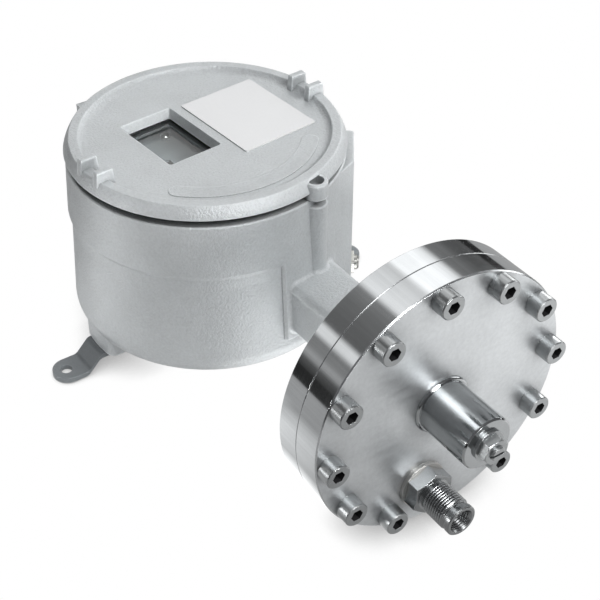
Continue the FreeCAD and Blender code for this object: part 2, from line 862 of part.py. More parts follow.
# Window stack under the cover plate: gasket, glass, retainer and four screws
gasket_face = Part.Face(outline(clear_width + 2.0 * gasket_lip, clear_length + 2.0 * gasket_lip, 2.0))
gasket_hole = Part.Face(outline(clear_width, clear_length, window_corner_radius))
gasket = gasket_face.cut(gasket_hole).extrude(vec(0, 0, gasket_thickness))
keep("window_gasket", in_window(gasket, gasket_low_z))
glass_width = clear_width + 2.0 * glass_edge
glass_length = clear_length + 2.0 * glass_edge
glass = bar(glass_width, glass_length, 1.0, glass_thickness, vec(0, 0, 0))
keep("window_glass", in_window(glass, glass_low_z))
ear_width = 2.0 * retainer_boss_radius + 3.0
reach_x = 2.0 * (window_half_w + retainer_screw_offset) + ear_width
reach_y = 2.0 * (window_half_l + retainer_screw_offset) + ear_width
retainer = bar(clear_width + 12.0, clear_length + 12.0, 3.0, retainer_thickness, vec(0, 0, 0))
retainer = retainer.fuse(bar(reach_x, ear_width, ear_width / 2.0 - 0.05, retainer_thickness, vec(0, 0, 0)))
retainer = retainer.fuse(bar(ear_width, reach_y, ear_width / 2.0 - 0.05, retainer_thickness, vec(0, 0, 0)))
retainer_cuts = [bar(clear_width - 1.0, clear_length - 1.0, 2.0, retainer_thickness, vec(0, 0, 0))]
retainer_screws = []
for x, y in retainer_points:
    retainer_cuts.append(rod(m4_radius + screw_hole_gap / 2.0, 5.0, vec(x, y, -1.0), UP))
    screw = pan_screw(m4_radius, m4_head_radius, m4_head_height, boss_height, vec(x, y, 0), UP)
    retainer_screws.append(in_window(screw, retainer_low_z))
keep("window_retainer", in_window(retainer.cut(retainer_cuts).removeSplitter(), retainer_low_z))
keep("retainer_screws", *retainer_screws)
plate = bar(nameplate_width, nameplate_length, 1.0, nameplate_thickness, vec(0, 0, 0))
plate.Placement = FreeCAD.Placement(
    vec(nameplate_x, nameplate_y, recess_z), FreeCAD.Rotation(UP, cover_turn_deg)
)
keep("nameplate", plate)

# Inner flange, screwed to the neck, with the low-pressure port on its rear face
sensor_base = vec(sensor_axis_x, neck_end_y, sensor_axis_z)
bush_radius = rod_radius + 2.5
inner_flange = turned(
    [
        (bush_radius + running_gap, 0),
        (flange_radius - flange_chamfer, 0),
        (flange_radius, flange_chamfer),
        (flange_radius, inner_flange_thickness - flange_chamfer / 2.0),
        (flange_radius - flange_chamfer / 2.0, inner_flange_thickness),
        (chamber_radius, inner_flange_thickness),
        (chamber_radius, inner_flange_thickness - rear_chamber_depth),
        (bush_radius + running_gap, inner_flange_thickness - rear_chamber_depth),
    ],
    sensor_base,
    FRONT,
)
seal_wire = 1.1
neck_seal_radius = neck_bore_radius + seal_wire + 0.9
groove = ring(
    neck_seal_radius + seal_wire + 0.1,
    neck_seal_radius - seal_wire - 0.1,
    2.0 * seal_wire + 0.1,
    sensor_base,
    FRONT,
)
low_port = sensor_point(low_port_circle_radius, low_port_angle_deg, neck_end_y + 1.0)
inner_cuts = [groove, rod(low_port_radius, inner_flange_thickness, low_port, FRONT)]
flange_angles = []
for step in range(flange_screw_count):
    flange_angles.append(flange_screw_turn_deg + step * 360.0 / flange_screw_count)
thread_in_inner = flange_screw_length - outer_flange_thickness + 1.8
for angle in flange_angles:
    spot = sensor_point(flange_screw_circle_radius, angle, joint_y)
    inner_cuts.append(rod(m8_radius, thread_in_inner, spot, REAR))
neck_head_y = rear_recess_y + m5_head_height + 0.2
for x, z in neck_screw_points:
    hole_start = vec(x, neck_end_y, z)
    inner_cuts.append(rod(m5_radius + screw_hole_gap / 2.0, inner_flange_thickness, hole_start, FRONT))
    inner_cuts.append(rod(m5_head_radius + screw_hole_gap / 2.0, 20.0, vec(x, neck_head_y, z), FRONT))
keep("inner_flange", inner_flange.cut(inner_cuts).removeSplitter())
seal_y = neck_end_y - seal_wire - running_gap
keep(
    "neck_seal",
    placed(Part.makeTorus(neck_seal_radius, seal_wire), vec(sensor_axis_x, seal_y, sensor_axis_z), FRONT),
)
neck_screws = []
for x, z in neck_screw_points:
    spot = vec(x, neck_head_y, z)
    neck_screws.append(cap_screw(m5_radius, m5_head_radius, m5_head_height, 4.0, 16.0, spot, REAR))
keep("neck_screws", *neck_screws)
bush = turned(
    [
        (rod_radius + running_gap, 1.0),
        (bush_radius, 1.0),
        (bush_radius, inner_flange_thickness - rear_chamber_depth),
        (bush_radius + 2.0, inner_flange_thickness - rear_chamber_depth),
        (bush_radius + 2.0, inner_flange_thickness - rear_chamber_depth + bush_flange_height),
        (rod_radius + running_gap, inner_flange_thickness - rear_chamber_depth + bush_flange_height),
    ],
    sensor_base,
    FRONT,
)
keep("rod_bush", bush)

# Outer flange with the front chamber, the spring passage and the fitting's thread
joint_base = vec(sensor_axis_x, joint_y, sensor_axis_z)
tube_bore_radius = tube_radius - tube_wall
outer_flange = turned(
    [
        (tube_bore_radius, front_chamber_depth),
        (chamber_radius, front_chamber_depth),
        (chamber_radius, diaphragm_thickness),
        (diaphragm_radius + touch_gap, diaphragm_thickness),
        (diaphragm_radius + touch_gap, 0),
        (flange_radius - flange_chamfer / 2.0, 0),
        (flange_radius, flange_chamfer / 2.0),
        (flange_radius, outer_flange_thickness - flange_chamfer),
        (flange_radius - flange_chamfer, outer_flange_thickness),
        (tube_bore_radius, outer_flange_thickness),
    ],
    joint_base,
    FRONT,
)
fitting_base = sensor_point(fitting_circle_radius, fitting_angle_deg, front_y)
outer_cuts = [
    rod(fitting_stub_radius + thread_gap, fitting_stub_length + 0.6, fitting_base, REAR),
    rod(
        3.0,
        outer_flange_thickness,
        sensor_point(fitting_circle_radius - 3.0, fitting_angle_deg, front_y),
        REAR,
    ),
]
for angle in flange_angles:
    spot = sensor_point(flange_screw_circle_radius, angle, front_y)
    outer_cuts.append(rod(m8_radius + screw_hole_gap, outer_flange_thickness, spot, REAR))
keep("outer_flange", outer_flange.cut(outer_cuts).removeSplitter())
flange_screws = []
for angle in flange_angles:
    spot = sensor_point(flange_screw_circle_radius, angle, front_y)
    flange_screws.append(
        cap_screw(m8_radius, m8_head_radius, m8_head_height, m8_socket_flats, flange_screw_length, spot, REAR)
    )
keep("flange_screws", *flange_screws)

# Diaphragm with one rolled wave, its two plates, the push rod and its nut
wave_low = plate_radius + 1.5
wave_high = chamber_radius - 1.0
wave_flank = 1.6
wave_rise = 2.4
diaphragm = turned(
    [
        (rod_radius + touch_gap, 0),
        (wave_low, 0),
        (wave_low + wave_flank, wave_rise),
        (wave_high - wave_flank, wave_rise),
        (wave_high, 0),
        (diaphragm_radius, 0),
        (diaphragm_radius, diaphragm_thickness),
        (wave_high, diaphragm_thickness),
        (wave_high - wave_flank, wave_rise + diaphragm_thickness),
        (wave_low + wave_flank, wave_rise + diaphragm_thickness),
        (wave_low, diaphragm_thickness),
        (rod_radius + touch_gap, diaphragm_thickness),
    ],
    joint_base,
    FRONT,
)
keep("diaphragm", diaphragm)
front_plate_y = joint_y - diaphragm_thickness
keep(
    "front_diaphragm_plate",
    ring(
        plate_radius,
        rod_radius + running_gap,
        plate_thickness,
        vec(sensor_axis_x, front_plate_y, sensor_axis_z),
        FRONT,
    ),
)
keep("rear_diaphragm_plate", ring(plate_radius, rod_radius + running_gap, plate_thickness, joint_base, REAR))
rod_nut_y = front_plate_y - plate_thickness
rod_nut_height = 4.0
rod_tip_y = lever_y - lever_thickness / 2.0 - touch_gap
rod_front_y = rod_nut_y - rod_nut_height - 1.0
rod_length = rod_tip_y - rod_front_y
shoulder_at = joint_y + plate_thickness - rod_front_y
shoulder_radius = rod_radius + 1.8
push_rod = turned(
    [
        (0, 0),
        (rod_radius, 0),
        (rod_radius, shoulder_at),
        (shoulder_radius, shoulder_at),
        (shoulder_radius, shoulder_at + rod_shoulder_height),
        (rod_radius, shoulder_at + rod_shoulder_height),
        (rod_radius, rod_length - 2.0),
        (rod_radius - 1.5, rod_length),
        (0, rod_length),
    ],
    vec(sensor_axis_x, rod_front_y, sensor_axis_z),
    REAR,
)
keep("push_rod", push_rod)
rod_nut = hexagon(m8_nut_flats, rod_nut_height, vec(sensor_axis_x, rod_nut_y, sensor_axis_z), FRONT)
nut_hole_start = vec(sensor_axis_x, rod_nut_y + 1.0, sensor_axis_z)
rod_nut = rod_nut.cut(rod(rod_radius + running_gap, 20.0, nut_hole_start, FRONT))
keep("rod_nut", rod_nut)

# Spring tube welded to the outer flange, with the counter spring and its adjuster
front_base = vec(sensor_axis_x, front_y, sensor_axis_z)
tube = turned(
    [
        (tube_bore_radius, 0),
        (tube_weld_radius, 0),
        (tube_weld_radius - 0.3, 1.1, tube_radius, 1.6),
        (tube_radius, tube_length - 0.8),
        (tube_radius - 0.8, tube_length),
        (m8_radius + running_gap, tube_length),
        (m8_radius + running_gap, tube_length - tube_end_thickness),
        (tube_bore_radius, tube_length - tube_end_thickness),
    ],
    front_base,
    FRONT,
)
keep("spring_tube", tube)
seat_y = front_y - seat_inset
seat = turned(
    [
        (0, 0),
        (tube_bore_radius - 0.5, 0),
        (tube_bore_radius - 0.5, seat_thickness),
        (0, seat_thickness),
    ],
    vec(sensor_axis_x, seat_y, sensor_axis_z),
    FRONT,
)
keep("spring_seat", seat)
spring_low_y = rod_nut_y - touch_gap
counter_length = spring_low_y - seat_y - touch_gap
keep(
    "counter_spring",
    coil(
        tube_bore_radius - 2.0,
        1.0,
        counter_length,
        5.0,
        vec(sensor_axis_x, spring_low_y, sensor_axis_z),
        FRONT,
    ),
)
adjuster_y = seat_y - seat_thickness - touch_gap
adjuster_length = adjuster_y - (tube_end_y - adjuster_end)
adjuster = turned(
    [
        (0, 0),
        (m8_radius - 0.8, 0),
        (m8_radius, 0.8),
        (m8_radius, adjuster_length - 0.7),
        (m8_radius - 0.7, adjuster_length),
        (0, adjuster_length),
    ]
)
adjuster_slot = block((-m8_radius, -0.7, adjuster_length - 2.4), (m8_radius, 0.7, adjuster_length + 1.0))
adjuster = adjuster.cut(adjuster_slot)
keep("adjusting_screw", placed(adjuster, vec(sensor_axis_x, adjuster_y, sensor_axis_z), FRONT))
tube_end = vec(sensor_axis_x, tube_end_y, sensor_axis_z)
keep("lock_washer", ring(lock_washer_radius, m8_radius + 0.4, lock_washer_thickness, tube_end, FRONT))
nut_base = vec(sensor_axis_x, tube_end_y - lock_washer_thickness, sensor_axis_z)
lock_nut = hexagon(m8_nut_flats, lock_nut_height, nut_base, FRONT, 10.0)
nut_corner = m8_nut_flats / math.sqrt(3.0)
nut_dome = turned(
    [
        (0, 0),
        (nut_corner + 0.3, 0),
        (nut_corner + 0.3, lock_nut_height - 0.7),
        (m8_nut_flats / 2.0 - 0.1, lock_nut_height),
        (0, lock_nut_height),
    ],
    nut_base,
    FRONT,
)
lock_nut = lock_nut.common(nut_dome).cut(rod(m8_radius + running_gap, 20.0, tube_end, FRONT))
keep("lock_nut", lock_nut)

# Pressure fitting: stub, hexagon, threaded nose with undercut and end collar, and a threaded bore
hex_start = fitting_seal_thickness
hex_end = hex_start + fitting_hex_length
nose = turned(
    [
        (0, -fitting_stub_length),
        (fitting_stub_radius, -fitting_stub_length),
        (fitting_stub_radius, hex_start),
        (fitting_thread_radius, hex_start),
        (fitting_thread_radius - 0.9, hex_end + 1.6),
        (fitting_thread_radius, hex_end + 2.6),
        (fitting_thread_radius, fitting_length - 5.6),
        (fitting_thread_radius - 1.3, fitting_length - 4.8),
        (fitting_thread_radius - 1.3, fitting_length - 3.4),
        (fitting_end_radius, fitting_length - 2.9),
        (fitting_end_radius, fitting_length - 0.6),
        (fitting_end_radius - 0.6, fitting_length),
        (0, fitting_length),
    ],
    fitting_base,
    FRONT,
)
fitting_hex = hexagon(fitting_hex_flats, fitting_hex_length, vec(0, 0, hex_start), UP, 22.0)
hex_corner = fitting_hex_flats / math.sqrt(3.0)
hex_dome = turned(
    [
        (0, hex_start),
        (hex_corner + 0.3, hex_start),
        (hex_corner + 0.3, hex_end - 1.0),
        (fitting_hex_flats / 2.0 - 0.2, hex_end),
        (0, hex_end),
    ]
)
fitting_hex = placed(fitting_hex.common(hex_dome), fitting_base, FRONT)
bore_depth = 15.0
passage = turned(
    [
        (0, -fitting_stub_length - 1.0),
        (2.5, -fitting_stub_length - 1.0),
        (2.5, fitting_length - bore_depth - 2.0),
        (fitting_bore_radius, fitting_length - bore_depth),
        (fitting_bore_radius, fitting_length - 1.2),
        (fitting_mouth_radius, fitting_length),
        (fitting_mouth_radius, fitting_length + 1.0),
        (0, fitting_length + 1.0),
    ],
    fitting_base,
    FRONT,
)
keep("pressure_fitting", nose.fuse(fitting_hex).cut(passage).removeSplitter())
keep(
    "fitting_seal",
    ring(fitting_seal_radius, fitting_stub_radius + thread_gap, fitting_seal_thickness, fitting_base, FRONT),
)

# Chassis: one folded sheet with a base, two cheeks, a switch post and a rear wall with a shelf
base_z = cavity_floor_z
base_top_z = base_z + sheet_thickness
cheek_left_x = lever_left_x - sheet_thickness
cheek_right_x = lever_right_x
base_right_x = cheek_right_x + sheet_thickness
chassis = block((cheek_left_x, chassis_front_y, base_z), (base_right_x, chassis_rear_y, base_top_z))
folds = []
for x in (cheek_left_x, cheek_right_x):
    folds.append(
        block(
            (x, chassis_front_y, base_z),
            (x + sheet_thickness, chassis_front_y + cheek_depth, base_z + cheek_height + 2),
        )
    )
post_y = switch_front_y - 1.0
post_rear_y = switch_front_y + switch_depth + 4.0
post_top_z = switch_low_z + switch_length + 2.0
switch_post_end = (switch_post_x + sheet_thickness, post_rear_y, post_top_z)
folds.append(block((switch_post_x, post_y, base_z), switch_post_end))
rear_wall_right_x = spindle_x + scale_width / 2.0 - 2.0
shelf_z = scale_z - sheet_thickness
folds.append(
    block(
        (cheek_left_x, chassis_rear_y - sheet_thickness, base_z),
        (rear_wall_right_x, chassis_rear_y, scale_z),
    )
)
shelf_end = (rear_wall_right_x, chassis_rear_y, scale_z)
folds.append(block((cheek_left_x, chassis_rear_y - 20.0, shelf_z), shelf_end))
chassis = chassis.multiFuse(folds)
switch_x = switch_post_x + sheet_thickness
switch_screw_zs = [switch_low_z + 3.5, switch_low_z + switch_length - 3.5]
switch_screw_y = switch_front_y + switch_depth - 4.0
scale_screw_points = [(spindle_x - 11.0, chassis_rear_y - 9.0), (spindle_x + 11.0, chassis_rear_y - 9.0)]
terminal_screw_x = terminal_x + terminal_width - 3.5
block_screw_points = [
    (terminal_screw_x, terminal_y + 4.0),
    (terminal_screw_x, terminal_y + terminal_length - 4.0),
]
chassis_cuts = [
    rod(lever_pin_radius + running_gap, 100.0, vec(cheek_left_x - 5.0, lever_y, lever_pin_z), RIGHT),
    rod(spindle_radius + running_gap, 20.0, vec(spindle_x, chassis_rear_y - 10.0, spindle_z), REAR),
]
for x, y in chassis_screw_points:
    chassis_cuts.append(rod(m4_radius + screw_hole_gap / 2.0, 10.0, vec(x, y, base_z - 1.0), UP))
for x, y in block_screw_points:
    chassis_cuts.append(rod(m3_radius, 10.0, vec(x, y, base_z - 1.0), UP))
for x, y in scale_screw_points:
    chassis_cuts.append(rod(m3_radius, 10.0, vec(x, y, shelf_z - 1.0), UP))
for z in switch_screw_zs:
    chassis_cuts.append(rod(m3_radius, 10.0, vec(switch_post_x - 1.0, switch_screw_y, z), RIGHT))
keep("chassis", chassis.cut(chassis_cuts).removeSplitter())
chassis_screws = []
for x, y in chassis_screw_points:
    chassis_screws.append(
        pan_screw(m4_radius, m4_head_radius, m4_head_height, 5.8, vec(x, y, base_top_z), DOWN)
    )
keep("chassis_screws", *chassis_screws)

# Lever on its pin: a plate with a hub at its foot
lever_low_x = lever_left_x + touch_gap
lever_high_x = lever_right_x - touch_gap
plate_low_y = lever_y - lever_thickness / 2.0
lever = block(
    (lever_low_x, plate_low_y, lever_pin_z),
    (lever_high_x, plate_low_y + lever_thickness, lever_top_z),
)


def lever_corner(edge, middle):
    along_y = abs(edge.Vertexes[0].Y - edge.Vertexes[-1].Y) > lever_thickness - 0.1
    return along_y and middle.z > lever_top_z - 0.1


lever = lever.makeFillet(8.0, edges_where(lever, lever_corner))
hub_start = vec(lever_low_x, lever_y, lever_pin_z)
lever = lever.fuse(rod(lever_hub_radius, lever_high_x - lever_low_x, hub_start, RIGHT))
lever_hole = rod(lever_pin_radius + running_gap, 100.0, vec(cheek_left_x - 5.0, lever_y, lever_pin_z), RIGHT)
lever_slot = bar(22.0, 10.0, 4.9, 20.0, vec(-8.0, lever_y - 10.0, lever_pin_z + 16.0), REAR)
keep("lever", lever.cut([lever_hole, lever_slot]).removeSplitter())
pin_length = base_right_x - cheek_left_x
pin = turned(
    [
        (0, -1.5),
        (lever_pin_radius + 1.2, -1.5),
        (lever_pin_radius + 1.2, 0),
        (lever_pin_radius, 0),
        (lever_pin_radius, pin_length),
        (lever_pin_radius + 1.2, pin_length),
        (lever_pin_radius + 1.2, pin_length + 1.5),
        (0, pin_length + 1.5),
    ],
    vec(cheek_left_x, lever_y, lever_pin_z),
    RIGHT,
)
keep("lever_pin", pin)

# Snap switch on the post, with its plunger and two screws
plunger_x = switch_x + switch_thickness / 2.0
switch = block(
    (switch_x, switch_front_y, switch_low_z),
    (switch_x + switch_thickness, switch_front_y + switch_depth, switch_low_z + switch_length),
)
plunger_tip_y = lever_y + lever_thickness / 2.0 + touch_gap
plunger_inside = 4.0
switch_cuts = [
    rod(plunger_radius + running_gap, plunger_inside + 2.5, vec(plunger_x, switch_front_y, plunger_z), REAR)
]
for z in switch_screw_zs:
    hole_start = vec(switch_x - 1.0, switch_screw_y, z)
    switch_cuts.append(rod(m3_radius + screw_hole_gap / 2.0, 30.0, hole_start, RIGHT))
switch = switch.cut(switch_cuts)
tab_y = switch_front_y + switch_depth
for z in (switch_low_z + 5.0, switch_low_z + 14.0, switch_low_z + 23.0):
    switch = switch.fuse(
        block((plunger_x - 0.4, tab_y - 0.5, z - 2.4), (plunger_x + 0.4, tab_y + 7.0, z + 2.4))
    )
keep("microswitch", switch.removeSplitter())
plunger_length = switch_front_y + plunger_inside - plunger_tip_y
keep("switch_plunger", rod(plunger_radius, plunger_length, vec(plunger_x, plunger_tip_y, plunger_z), REAR))
switch_screws = []
for z in switch_screw_zs:
    spot = vec(switch_x + switch_thickness, switch_screw_y, z)
    switch_screws.append(
        pan_screw(m3_radius, m3_head_radius, m3_head_height, switch_thickness + sheet_thickness, spot, LEFT)
    )
keep("switch_screws", *switch_screws)

# Setting spindle with its thumb wheel, the range nut with its pointer, and the range spring
collar_y = chassis_rear_y - sheet_thickness - touch_gap
wheel_y = chassis_rear_y + touch_gap
spindle_length = wheel_y + wheel_length - spindle_front_y
spindle = turned(
    [
        (0, 0),
        (spindle_radius, 0),
        (spindle_radius, collar_y - 3.5 - spindle_front_y),
        (spindle_radius + 3.0, collar_y - 3.5 - spindle_front_y),
        (spindle_radius + 3.0, collar_y - spindle_front_y),
        (spindle_radius, collar_y - spindle_front_y),
        (spindle_radius, wheel_y - spindle_front_y),
        (wheel_radius, wheel_y - spindle_front_y),
        (wheel_radius, spindle_length),
        (0, spindle_length),
    ],
    vec(spindle_x, spindle_front_y, spindle_z),
    REAR,
)
keep("setting_spindle", spindle)
nut_low_y = range_nut_y - range_nut_length / 2.0
nut_high_y = range_nut_y + range_nut_length / 2.0
nut_half = range_nut_width / 2.0
pointer_top_z = scale_z + scale_thickness + 2.2
range_nut = block(
    (spindle_x - nut_half, nut_low_y, spindle_z - nut_half),
    (spindle_x + nut_half, nut_high_y, spindle_z + nut_half),
)
blade = block(
    (spindle_x - pointer_width / 2.0, range_nut_y - 2.0, spindle_z),
    (spindle_x + pointer_width / 2.0, range_nut_y + 2.0, pointer_top_z),
)
flag = block(
    (spindle_x - 9.0, range_nut_y - 0.6, pointer_top_z - 1.0),
    (spindle_x + 9.0, range_nut_y + 0.6, pointer_top_z),
)
range_nut = range_nut.fuse(blade).fuse(flag)
range_nut = range_nut.cut(
    rod(spindle_radius + running_gap, 30.0, vec(spindle_x, nut_low_y - 5.0, spindle_z), REAR)
)
keep("range_nut", range_nut.removeSplitter())
spring_front_y = lever_y + lever_thickness / 2.0 + touch_gap
range_length = nut_low_y - touch_gap - spring_front_y
keep("range_spring", coil(5.6, 0.8, range_length, 6.0, vec(spindle_x, spring_front_y, spindle_z), REAR))

# Scale plate over the nut, seen through the window, with its slot and two screws
slot_length = 2.0 * range_nut_travel + 6.0
scale = block(
    (spindle_x - scale_width / 2.0, scale_front_y, scale_z),
    (spindle_x + scale_width / 2.0, chassis_rear_y, scale_z + scale_thickness),
)
scale_cuts = [
    bar(pointer_width + 1.4, slot_length, 1.0, 5.0, vec(spindle_x, range_nut_y, scale_z - 1.0)),
]
for x, y in scale_screw_points:
    scale_cuts.append(rod(m3_radius + screw_hole_gap / 2.0, 5.0, vec(x, y, scale_z - 1.0), UP))
keep("scale_plate", scale.cut(scale_cuts))
scale_screws = []
for x, y in scale_screw_points:
    spot = vec(x, y, scale_z + scale_thickness)
    scale_screws.append(pan_screw(m3_radius, m3_head_radius, m3_head_height, 4.0, spot, DOWN))
keep("scale_screws", *scale_screws)

# Terminal block with three clamps and two fixing screws
shelf_top_z = base_top_z + 7.0
terminal = block(
    (terminal_x, terminal_y, base_top_z),
    (terminal_x + terminal_width, terminal_y + terminal_length, base_top_z + terminal_height),
)
terminal_cuts = [
    block(
        (terminal_x + terminal_width - 7.0, terminal_y - 1.0, shelf_top_z),
        (
            terminal_x + terminal_width + 1.0,
            terminal_y + terminal_length + 1.0,
            base_top_z + terminal_height + 1.0,
        ),
    )
]
terminal_screws = []
clamp_x = terminal_x + 5.5
for step in (-1, 0, 1):
    y = terminal_y + terminal_length / 2.0 + step * terminal_pitch
    top = base_top_z + terminal_height
    terminal_cuts.append(rod(3.3, 5.0, vec(clamp_x, y, top - 5.0), UP))
    terminal_cuts.append(rod(m3_radius, 11.0, vec(clamp_x, y, top - 11.0), UP))
    terminal_cuts.append(rod(2.0, 6.0, vec(terminal_x + terminal_width - 7.0, y, shelf_top_z + 3.0), LEFT))
    terminal_screws.append(
        pan_screw(m3_radius, m3_head_radius, m3_head_height, 5.0, vec(clamp_x, y, top - 5.0), DOWN)
    )
block_screws = []
for x, y in block_screw_points:
    terminal_cuts.append(rod(m3_radius + screw_hole_gap / 2.0, 20.0, vec(x, y, base_z), UP))
    block_screws.append(
        pan_screw(m3_radius, m3_head_radius, m3_head_height, 8.6, vec(x, y, shelf_top_z), DOWN)
    )
keep("terminal_block", terminal.cut(terminal_cuts).removeSplitter())
keep("terminal_screws", *terminal_screws)
keep("terminal_block_screws", *block_screws)

os.makedirs("parts", exist_ok=True)
for name, shape in nodes.items():
    shape.exportStep("parts/" + name + ".step")
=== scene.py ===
import json
import math

import bmesh
import bpy
from mathutils import Matrix, Vector


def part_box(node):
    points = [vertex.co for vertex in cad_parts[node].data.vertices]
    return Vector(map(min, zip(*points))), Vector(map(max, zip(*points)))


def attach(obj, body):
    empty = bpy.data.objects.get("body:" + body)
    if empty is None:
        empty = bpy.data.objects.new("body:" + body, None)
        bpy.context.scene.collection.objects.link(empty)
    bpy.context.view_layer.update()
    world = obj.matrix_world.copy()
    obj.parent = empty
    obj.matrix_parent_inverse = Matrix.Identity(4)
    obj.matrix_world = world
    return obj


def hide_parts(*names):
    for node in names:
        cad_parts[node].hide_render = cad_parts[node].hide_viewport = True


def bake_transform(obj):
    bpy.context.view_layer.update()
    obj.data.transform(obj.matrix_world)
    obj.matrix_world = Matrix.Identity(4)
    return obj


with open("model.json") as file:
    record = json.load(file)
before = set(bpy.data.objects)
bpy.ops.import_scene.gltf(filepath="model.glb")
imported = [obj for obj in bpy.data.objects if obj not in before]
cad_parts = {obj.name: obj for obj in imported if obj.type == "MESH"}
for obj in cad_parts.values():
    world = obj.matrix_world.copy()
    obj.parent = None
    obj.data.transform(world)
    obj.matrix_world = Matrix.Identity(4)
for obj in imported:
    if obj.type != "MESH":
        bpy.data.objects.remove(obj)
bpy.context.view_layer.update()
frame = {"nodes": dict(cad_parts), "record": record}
nodes = frame["nodes"]
MM = 0.001
EVEN = (1.0, 1.0, 1.0)

# Camera, in the part's frame: where it stands, the way it looks and its field
CAMERA_AT = Vector((-307.35, -533.2, 500.2)) * MM
CAMERA_AZIMUTH = -34.6185
CAMERA_ELEVATION = 38.7049
CAMERA_ROLL = 0.1329
CAMERA_LENS = 81.42
CAMERA_REACH = 50.0
SENSOR_WIDTH = 36.0

# What all the finishes share: detail of their noises, spread of roughness, worn edges with painted
# highlights, and painted shade in hollows
NOISE_ROUGHNESS = 0.6
GRAIN_DETAIL = 4.0
MOTTLE_DETAIL = 2.0
PATCH_SCALE = 30.0
PATCH_DETAIL = 3.0
SMOOTHER = 0.88
ROUGHER = 1.12
BEVEL_SAMPLES = 4
SHADE_SAMPLES = 6
WEAR_GLINT_GAIN = 1.45
WEAR_GLINT_LIFT = 0.04
WEAR_GLINT_FROM = 0.55
WEAR_GLINT_TO = 0.95
HOLLOW_FROM = 0.10


def new_material(name, color, metallic, roughness):
    """A principled material and its shader node."""
    material = bpy.data.materials.new(name)
    material.use_nodes = True
    shader = material.node_tree.nodes["Principled BSDF"]
    shader.inputs["Base Color"].default_value = (*color, 1.0)
    shader.inputs["Metallic"].default_value = metallic
    shader.inputs["Roughness"].default_value = roughness
    return material, shader


def add(owner, kind, **values):
    """A node of a material or the world, with the named sockets set."""
    node = owner.node_tree.nodes.new(kind)
    for key, value in values.items():
        node.inputs[key.replace("_", " ")].default_value = value
    return node


def wire(owner, source, target):
    owner.node_tree.links.new(source, target)


def place_of(material, stretch):
    """Object coordinates, stretched along the axes."""
    coords = add(material, "ShaderNodeTexCoord")
    mapping = add(material, "ShaderNodeMapping", Scale=stretch)
    wire(material, coords.outputs["Object"], mapping.inputs["Vector"])
    return mapping.outputs["Vector"]


def spread(owner, source, low, high, start=0.3, end=0.7):
    """A value mapped from one range onto another; the usual range is that of a noise."""
    node = add(owner, "ShaderNodeMapRange", From_Min=start, From_Max=end, To_Min=low, To_Max=high)
    wire(owner, source, node.inputs["Value"])
    return node.outputs["Result"]


def calculate(owner, operation, *values):
    """A math node on sockets or plain numbers."""
    node = add(owner, "ShaderNodeMath")
    node.operation = operation
    for socket, value in zip(node.inputs, values):
        if isinstance(value, (int, float)):
            socket.default_value = value
        else:
            wire(owner, value, socket)
    return node.outputs["Value"]


def blend(owner, share, first, second):
    """Two colours, or sockets of colour, mixed by the socket of a share."""
    node = add(owner, "ShaderNodeMix")
    node.data_type = "RGBA"
    wire(owner, share, node.inputs[0])
    for socket, value in ((node.inputs[6], first), (node.inputs[7], second)):
        if isinstance(value, tuple):
            socket.default_value = (*value, 1.0)
        else:
            wire(owner, value, socket)
    return node.outputs[2]


def choose(material, share, first, second):
    """Two shaders mixed by the socket of a share."""
    node = add(material, "ShaderNodeMixShader")
    wire(material, share, node.inputs[0])
    wire(material, first, node.inputs[1])
    wire(material, second, node.inputs[2])
    return node.outputs["Shader"]


def show(material, shader):
    """The shader goes to the material's output."""
    wire(material, shader, material.node_tree.nodes["Material Output"].inputs["Surface"])


def noise(material, scale, detail, stretch=EVEN):
    """The value of a noise in object coordinates."""
    node = add(
        material, "ShaderNodeTexNoise", Scale=scale, Detail=detail, Roughness=NOISE_ROUGHNESS,
    )
    wire(material, place_of(material, stretch), node.inputs["Vector"])
    return node.outputs["Fac"]


def occlusion(material, distance, samples, inside=False):
    """How open the surface is to its surroundings, or to its own inside."""
    node = add(material, "ShaderNodeAmbientOcclusion", Distance=distance)
    node.samples = samples
    node.inside = inside
    return node.outputs["AO"]


